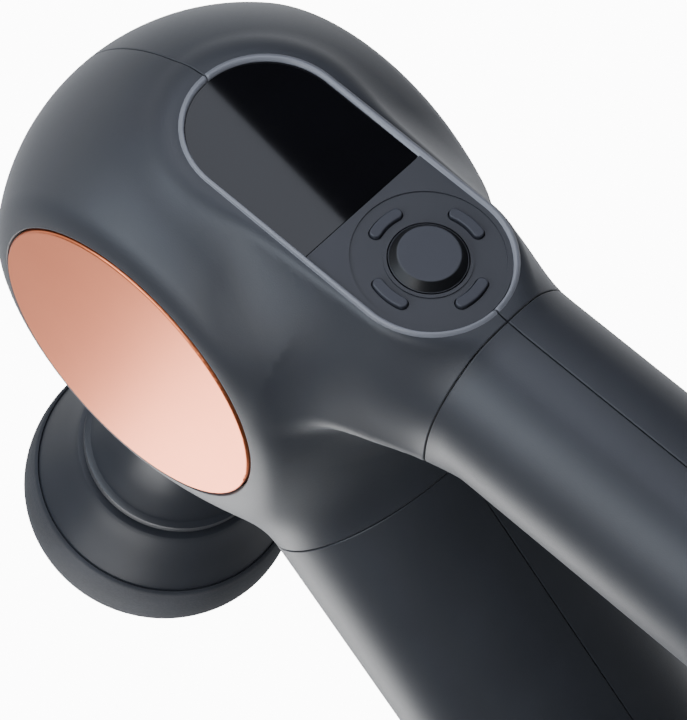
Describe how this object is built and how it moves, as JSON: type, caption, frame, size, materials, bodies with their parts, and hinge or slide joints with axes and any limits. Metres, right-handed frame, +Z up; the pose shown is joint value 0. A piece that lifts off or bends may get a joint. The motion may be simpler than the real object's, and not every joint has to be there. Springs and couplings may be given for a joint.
{
  "type": "percussive massage gun",
  "caption": "Handheld percussive massage gun with a ball head, flat round side discs, a display and round control dial, a closed triangular handle and a round damper attachment.",
  "frame": {"origin": "middle of the footprint of the whole device, on the surface that its base arm stands on", "axes": "+Z up out of the top of the head, +X the massage direction towards the attachment, +Y the user's left, square to the side discs"},
  "size_m": [0.2234, 0.073, 0.251],
  "materials": {
    "shell": "soft-touch moulded plastic, charcoal",
    "disc": "fine satin anodised, rose copper",
    "glass": "gloss black cover glass",
    "plate": "fine matt moulded plastic",
    "button": "fine matt moulded plastic",
    "display": "display module",
    "inner_plastic": "moulded plastic",
    "board": "circuit board laminate",
    "steel": "ground steel",
    "shaft_metal": "hard-coated steel",
    "alloy": "cast and machined aluminium",
    "bush": "sintered bronze",
    "seal": "rubber",
    "iron": "laminated iron and magnet blocks",
    "copper_wire": "enamelled copper wire",
    "bell": "turned steel",
    "cell": "sleeved steel can",
    "core": "moulded plastic, matt",
    "pad": "dense closed-cell foam skin"
  },
  "bodies": {
    "housing": {"battery_board": "board", "battery_cells": "cell", "battery_holder": "inner_plastic", "board_standoffs": "inner_plastic", "button_board": "board", "button_switches": "steel", "charge_board": "board", "charge_port": "steel", "control_board": "board", "control_plate": "plate", "display_lens": "glass", "display_module": "display", "drive_frame": "alloy", "driver_board": "board", "front_arm_sleeve": "alloy", "handle_screws": "steel", "handle_shell_left": "shell", "handle_shell_right": "shell", "head_screws": "steel", "head_shell_left": "shell", "head_shell_right": "shell", "motor_bearings": "steel", "nose_collar": "shell", "panel_frame": "inner_plastic", "rear_arm_sleeve": "alloy", "shaft_bush": "bush", "shaft_seal": "seal", "side_disc_left": "disc", "side_disc_right": "disc", "stator_core": "iron", "stator_windings": "copper_wire"},
    "crank": {"crank_disc": "alloy", "crank_pin": "steel", "pin_roller": "steel", "motor_shaft": "steel", "rotor_bell": "bell", "rotor_magnets": "iron"},
    "massage_arm": {"yoke": "shaft_metal", "output_shaft": "shaft_metal", "detent_ring": "seal"},
    "attachment": {"attachment_core": "core", "attachment_pad": "pad"},
    "center_button": {"center_button": "button"},
    "button_up": {"button_up": "button"},
    "button_down": {"button_down": "button"},
    "button_left": {"button_left": "button"},
    "button_right": {"button_right": "button"}
  },
  "joints": [
    {"name": "crank_spin", "type": "hinge", "parent": "housing", "child": "crank", "pos_m": [-0.0383, 0, 0.199], "axis": [0, 1, 0], "range_deg": [0, 180]},
    {"name": "stroke", "type": "slide", "parent": "housing", "child": "massage_arm", "axis": [1, 0, 0], "range_m": [0, 0.016]},
    {"name": "attachment_pull", "type": "slide", "parent": "massage_arm", "child": "attachment", "axis": [1, 0, 0], "range_m": [0, 0.024]},
    {"name": "center_press", "type": "slide", "parent": "housing", "child": "center_button", "axis": [0.9866, 0, -0.1633], "range_m": [0, 0.0012], "stiffness_N_per_m": 600, "springref_m": -0.0008},
    {"name": "button_up_press", "type": "slide", "parent": "housing", "child": "button_up", "axis": [0.9866, 0, -0.1633], "range_m": [0, 0.0006], "stiffness_N_per_m": 600, "springref_m": -0.0008},
    {"name": "button_down_press", "type": "slide", "parent": "housing", "child": "button_down", "axis": [0.9866, 0, -0.1633], "range_m": [0, 0.0006], "stiffness_N_per_m": 600, "springref_m": -0.0008},
    {"name": "button_left_press", "type": "slide", "parent": "housing", "child": "button_left", "axis": [0.9866, 0, -0.1633], "range_m": [0, 0.0006], "stiffness_N_per_m": 600, "springref_m": -0.0008},
    {"name": "button_right_press", "type": "slide", "parent": "housing", "child": "button_right", "axis": [0.9866, 0, -0.1633], "range_m": [0, 0.0006], "stiffness_N_per_m": 600, "springref_m": -0.0008}
  ],
  "couplings": [
    {"joint": "stroke", "follows": "crank_spin", "m_per_rad": 0.0050929}
  ]
}
